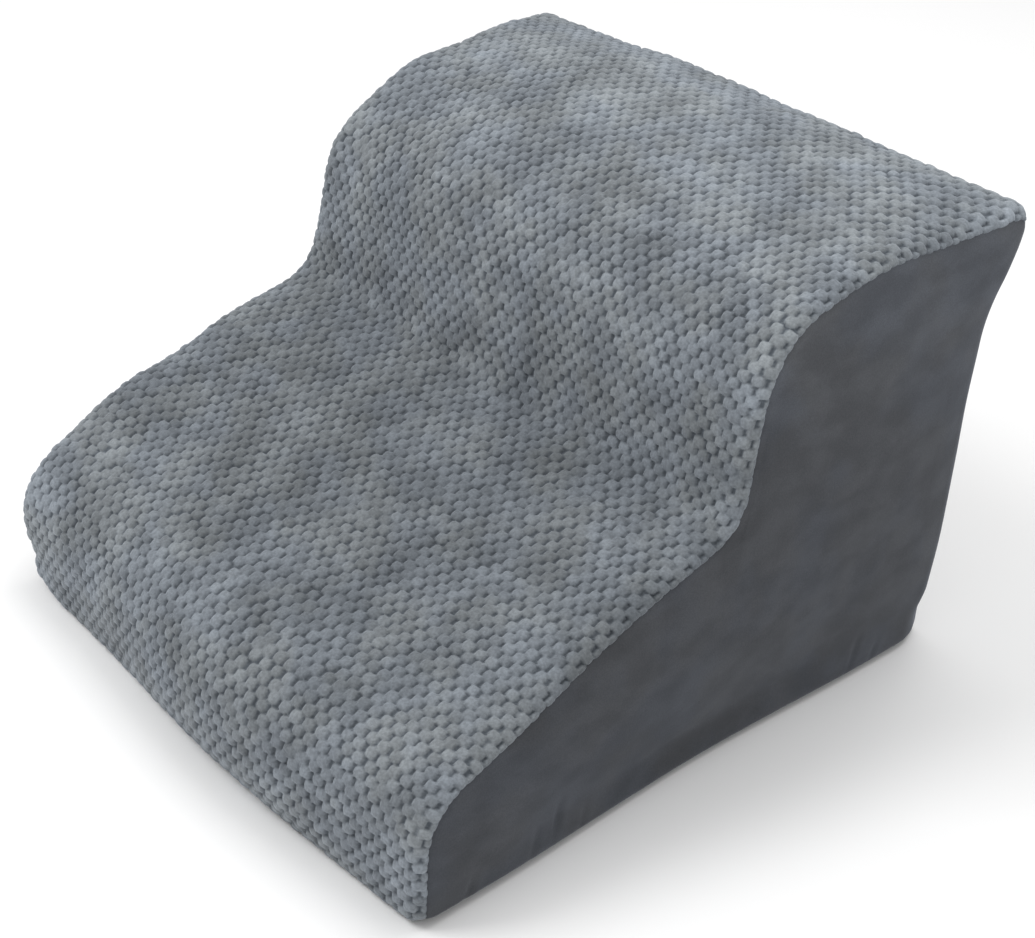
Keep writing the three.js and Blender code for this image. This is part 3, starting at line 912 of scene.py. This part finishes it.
class Look:
    """A material, built up node by node over object coordinates in metres."""

    def __init__(self, name, **settings):
        self.material = bpy.data.materials.new(name)
        self.material.use_nodes = True
        self.tree = self.material.node_tree
        self.shader = self.tree.nodes["Principled BSDF"]
        self.where = self.node("TexCoord").outputs["Object"]
        for setting, value in settings.items():
            words = setting.replace("_", " ").title().replace("Ior", "IOR")
            self.shader.inputs[words].default_value = value

    def node(self, kind, **options):
        made = self.tree.nodes.new("ShaderNode" + kind)
        for option, value in options.items():
            setattr(made, option, value)
        return made

    def feed(self, socket, value):
        """Links a socket, or sets it to a plain value."""
        if isinstance(value, bpy.types.NodeSocket):
            self.tree.links.new(value, socket)
        else:
            socket.default_value = value

    def math(self, operation, first, second=0.0):
        made = self.node("Math", operation=operation)
        self.feed(made.inputs[0], first)
        self.feed(made.inputs[1], second)
        return made.outputs[0]

    def product(self, first, *others):
        for other in others:
            first = self.math("MULTIPLY", first, other)
        return first

    def place(self, axis):
        """The coordinate along an axis."""
        apart = self.node("SeparateXYZ")
        self.feed(apart.inputs[0], self.where)
        return apart.outputs[axis]

    def noise(self, size, detail=2.0, stretch=(1, 1, 1)):
        """Cloudy noise around 0.5, with clouds of this size in metres."""
        mapping = self.node("Mapping")
        self.feed(mapping.inputs["Vector"], self.where)
        mapping.inputs["Scale"].default_value = stretch
        made = self.node("TexNoise")
        self.feed(made.inputs["Vector"], mapping.outputs[0])
        made.inputs["Scale"].default_value = 1 / size
        made.inputs["Detail"].default_value = detail
        return made.outputs["Fac"]

    def spread(self, value, low, high, to_low=0.0, to_high=1.0):
        """A value from one range, mapped smoothly onto another."""
        made = self.node("MapRange", interpolation_type="SMOOTHSTEP")
        self.feed(made.inputs["Value"], value)
        ends = {"From Min": low, "From Max": high, "To Min": to_low, "To Max": to_high}
        for socket, number in ends.items():
            self.feed(made.inputs[socket], number)
        return made.outputs[0]

    def wave(self, size, direction):
        """Bands across a direction, this far apart in metres."""
        made = self.node("TexWave", wave_type="BANDS", bands_direction=direction, wave_profile="SIN")
        self.feed(made.inputs["Vector"], self.where)
        made.inputs["Scale"].default_value = math.pi / (10 * size)
        return made.outputs["Fac"]

    def attribute(self, name):
        return self.node("Attribute", attribute_name=name).outputs["Fac"]

    def blend(self, share, first, second):
        """A mix of two colours, each a colour socket or three numbers."""
        made = self.node("Mix", data_type="RGBA")
        self.feed(made.inputs["Factor"], share)
        for socket, color in ((made.inputs[6], first), (made.inputs[7], second)):
            self.feed(socket, (*color, 1.0) if isinstance(color, tuple) else color)
        return made.outputs[2]

    def scaled(self, color, amount):
        """A colour made lighter or darker by an amount."""
        made = self.node("VectorMath", operation="SCALE")
        self.feed(made.inputs[0], color)
        self.feed(made.inputs["Scale"], amount)
        return made.outputs[0]

    def bump(self, height, distance, strength=1.0):
        made = self.node("Bump")
        made.inputs["Strength"].default_value = strength
        made.inputs["Distance"].default_value = distance
        self.feed(made.inputs["Height"], height)
        self.feed(self.shader.inputs["Normal"], made.outputs[0])

    def color(self, color):
        self.feed(self.shader.inputs["Base Color"], color)

    def roughness(self, value):
        self.feed(self.shader.inputs["Roughness"], value)


def plush_look():
    """Nubbed plush: pale tips, roots darkened with painted shade between the nubs, clouds where the pile has
    been brushed one way or another, and painted shade and light from region to region.
    """
    look = Look("plush", roughness=0.95, sheen_weight=0.35, sheen_roughness=0.45, specular_ior_level=0.15)
    look.shader.inputs["Sheen Tint"].default_value = (0.80, 0.86, 0.95, 1)
    cool, warm, root_shade = (0.196, 0.218, 0.243), (0.205, 0.223, 0.236), (0.092, 0.105, 0.120)
    tip = look.blend(look.spread(look.noise(38 * MM), 0.38, 0.62), cool, warm)
    # Painted shade: the colour darkens towards the root colour where the pile is low, between the nubs and
    # in the turned-under edges.
    body = look.blend(look.spread(look.attribute("pile"), 0.0, 0.85), root_shade, tip)
    brushed = look.spread(look.noise(46 * MM, 3.0), 0.30, 0.70, 0.80, 1.20)
    speckled = look.spread(look.attribute("tone"), 0.0, 1.0, 0.88, 1.10)
    fibres = look.spread(look.noise(1.8 * MM, 4.0), 0.3, 0.7, 0.86, 1.14)
    walk = look.attribute("walk")
    amount = look.product(
        brushed,
        speckled,
        fibres,
        # Darker on the lower tread and paler towards the back: partly the pile lying downhill, partly
        # painted shade under the riser and painted light on the upper tread.
        look.spread(walk, 0.12, 0.28, 0.89, 0.73),
        look.spread(walk, 0.45, 0.60, 1.0, 1.31),
        look.spread(walk, 0.72, 0.95, 1.0, 1.12),
        # Painted light towards both seams, where the pile stands more upright and catches more light.
        look.spread(look.math("ABSOLUTE", look.place("X")), 0.08, 0.19, 0.97, 1.08),
    )
    look.color(look.scaled(body, amount))
    look.bump(look.noise(1.1 * MM, 4.0), 0.9 * MM, 0.7)
    return look.material


def velvet_look():
    """Short-pile velvet, with a faint cloudy nap, painted shade near the floor and painted light towards the
    top.
    """
    look = Look("velvet", roughness=0.9, sheen_weight=0.25, sheen_roughness=0.35, specular_ior_level=0.2)
    look.shader.inputs["Sheen Tint"].default_value = (0.80, 0.86, 1.0, 1)
    cool, warm = (0.060, 0.065, 0.075), (0.062, 0.065, 0.071)
    base = look.blend(look.spread(look.noise(55 * MM), 0.38, 0.62), cool, warm)
    nap = look.spread(look.noise(34 * MM, 3.0, (1, 1, 1.6)), 0.3, 0.7, 0.86, 1.14)
    grain = look.spread(look.noise(0.8 * MM, 2.0), 0.3, 0.7, 0.90, 1.10)
    # Painted shade near the floor, and painted light towards the top, where more light falls.
    height = look.place("Z")
    low = look.spread(height, 0.0, 0.10, 0.96, 1.0)
    high = look.spread(height, 0.15, 0.30, 1.0, 1.42)
    look.color(look.scaled(base, look.product(nap, grain, low, high)))
    look.bump(look.noise(0.9 * MM, 2.0), 0.18 * MM, 0.5)
    return look.material


def woven_look(name, thread, gap, size, sheen=0.1):
    """A plain weave: threads over and under each other."""
    look = Look(name, roughness=0.8, sheen_weight=sheen, specular_ior_level=0.3)
    weft, warp = look.wave(size, "X"), look.wave(size, "DIAGONAL")
    over = look.product(weft, warp)
    color = look.blend(look.spread(over, 0.05, 0.55), gap, thread)
    look.color(look.scaled(color, look.spread(look.noise(9 * MM, 3.0), 0.3, 0.7, 0.88, 1.12)))
    look.bump(over, 0.12 * MM, 0.8)
    return look.material


def rubber_look():
    look = Look("rubber", roughness=0.55, specular_ior_level=0.4)
    dusty = look.spread(look.noise(14 * MM, 4.0), 0.35, 0.75)
    look.color(look.blend(dusty, (0.012, 0.012, 0.013), (0.028, 0.028, 0.028)))
    look.roughness(look.spread(dusty, 0.0, 1.0, 0.45, 0.75))
    look.bump(look.noise(0.6 * MM, 2.0), 0.05 * MM)
    return look.material


def foam_look():
    """Open-cell foam, pitted all over, with painted shade in its pits."""
    look = Look("foam", roughness=0.95, specular_ior_level=0.2)
    cells = look.node("TexVoronoi")
    look.feed(cells.inputs["Vector"], look.where)
    cells.inputs["Scale"].default_value = 1 / (1.3 * MM)
    pits_and_shade = look.spread(cells.outputs["Distance"], 0.05, 0.5)
    tint = look.blend(look.noise(60 * MM), (0.80, 0.76, 0.66), (0.76, 0.73, 0.65))
    # Painted shade: the pits are coloured darker than the cell walls.
    look.color(look.blend(pits_and_shade, (0.45, 0.42, 0.34), tint))
    look.bump(pits_and_shade, 0.5 * MM, 0.7)
    return look.material


def coil_look():
    look = Look("zip_coil", roughness=0.35, specular_ior_level=0.5)
    look.color(look.blend(look.noise(4 * MM, 3.0), (0.030, 0.033, 0.038), (0.040, 0.043, 0.048)))
    look.roughness(look.spread(look.noise(2 * MM), 0.3, 0.7, 0.28, 0.45))
    return look.material


def thread_look():
    look = Look("thread", roughness=0.7, sheen_weight=0.2, specular_ior_level=0.3)
    ply = look.wave(0.5 * MM, "DIAGONAL")
    look.color(look.blend(ply, (0.030, 0.033, 0.038), (0.062, 0.067, 0.077)))
    look.bump(ply, 0.08 * MM)
    return look.material


def metal_look():
    """Gunmetal plating, finely tumbled, with the lighter metal showing where it rubs."""
    look = Look("zip_metal", metallic=1.0, roughness=0.35)
    geometry = look.node("NewGeometry")
    edge = look.spread(geometry.outputs["Pointiness"], 0.51, 0.58)
    worn = look.product(edge, look.spread(look.noise(1.5 * MM, 3.0), 0.35, 0.65))
    look.color(look.blend(worn, (0.159, 0.165, 0.178), (0.42, 0.42, 0.42)))
    look.roughness(look.spread(look.noise(0.8 * MM, 4.0), 0.3, 0.7, 0.28, 0.46))
    look.bump(look.noise(0.3 * MM, 2.0), 0.02 * MM, 0.4)
    return look.material


def satin_look():
    look = Look("label", roughness=0.42, sheen_weight=0.2, specular_ior_level=0.4)
    weave = look.wave(0.35 * MM, "Z")
    look.color(look.blend(weave, (0.70, 0.70, 0.68), (0.82, 0.82, 0.79)))
    look.bump(weave, 0.04 * MM)
    return look.material


# ---- Light, floor and camera ----

def make_camera():
    """A camera at the photograph's viewing angle."""
    azimuth, elevation, roll = (math.radians(angle) for angle in (45.69, 31.94, 4.56))
    flat = math.cos(elevation)
    back = Vector((math.sin(azimuth) * flat, -math.cos(azimuth) * flat, math.sin(elevation)))
    level = Vector((0, 0, 1)).cross(back).normalized()
    upright = back.cross(level)
    right = math.cos(roll) * level + math.sin(roll) * upright
    up = math.cos(roll) * upright - math.sin(roll) * level
    data = bpy.data.cameras.new("camera")
    data.lens = 65.89
    camera = placed("camera", data)
    place = Vector((0.7222, -0.6816, 0.7245))
    camera.matrix_world = Matrix([[*row] for row in zip(right, up, back, place)] + [[0, 0, 0, 1]])
    bpy.context.scene.camera = camera


def make_lamp(name, place, size, power):
    """A large soft square lamp that faces the ramp."""
    light = bpy.data.lights.new(name, "AREA")
    light.size, light.energy = size, power
    lamp = placed(name, light)
    lamp.location = place
    lamp.rotation_euler = (Vector((0, 0, 0.12)) - Vector(place)).to_track_quat("-Z", "Y").to_euler()


def make_studio():
    """A pale floor, a pale sky and soft lamps."""
    reach = 30.0
    corners = [(-reach, -reach, 0), (reach, -reach, 0), (reach, reach, 0), (-reach, reach, 0)]
    mesh = bpy.data.meshes.new("floor")
    mesh.from_pydata(corners, [], [(0, 1, 2, 3)])
    look = Look("floor", roughness=0.9)
    look.color(look.blend(look.noise(0.5), (0.90, 0.90, 0.90), (0.91, 0.91, 0.91)))
    mesh.materials.append(look.material)
    placed("floor", mesh)
    world = bpy.data.worlds.new("studio")
    world.use_nodes = True
    sky = world.node_tree.nodes["Background"]
    sky.inputs["Color"].default_value = (1, 1, 1, 1)
    sky.inputs["Strength"].default_value = 0.72
    bpy.context.scene.world = world
    make_lamp("key", (-0.9, -1.3, 2.0), 1.0, 26)
    make_lamp("top", (0.1, 0.7, 2.4), 1.4, 20)
    bpy.context.scene.view_settings.view_transform = "Standard"


# ---- The whole ramp ----

make_camera()
make_studio()
body = covered_body()
rest = places_of(body.data)
SLACK = None  # the simulated cloth's shift, which settle() adds
put(body.data, sag(rest))
SLACK = Slack(rest, simulated(body))
make_foam(body, rest, foam_look())
make_tread(plush_look())
velvet = velvet_look()
make_sides(velvet)
make_back(velvet)
make_base(woven_look("non_slip", (0.026, 0.027, 0.030), (0.010, 0.010, 0.011), 0.9 * MM), rubber_look())

make_zip({
    "zip_tape": woven_look("zip_tape", (0.050, 0.053, 0.061), (0.022, 0.023, 0.027), 0.8 * MM, 0.2),
    "zip_coil": coil_look(),
    "zip_metal": metal_look(),
    "thread": thread_look(),
})
make_label(satin_look())
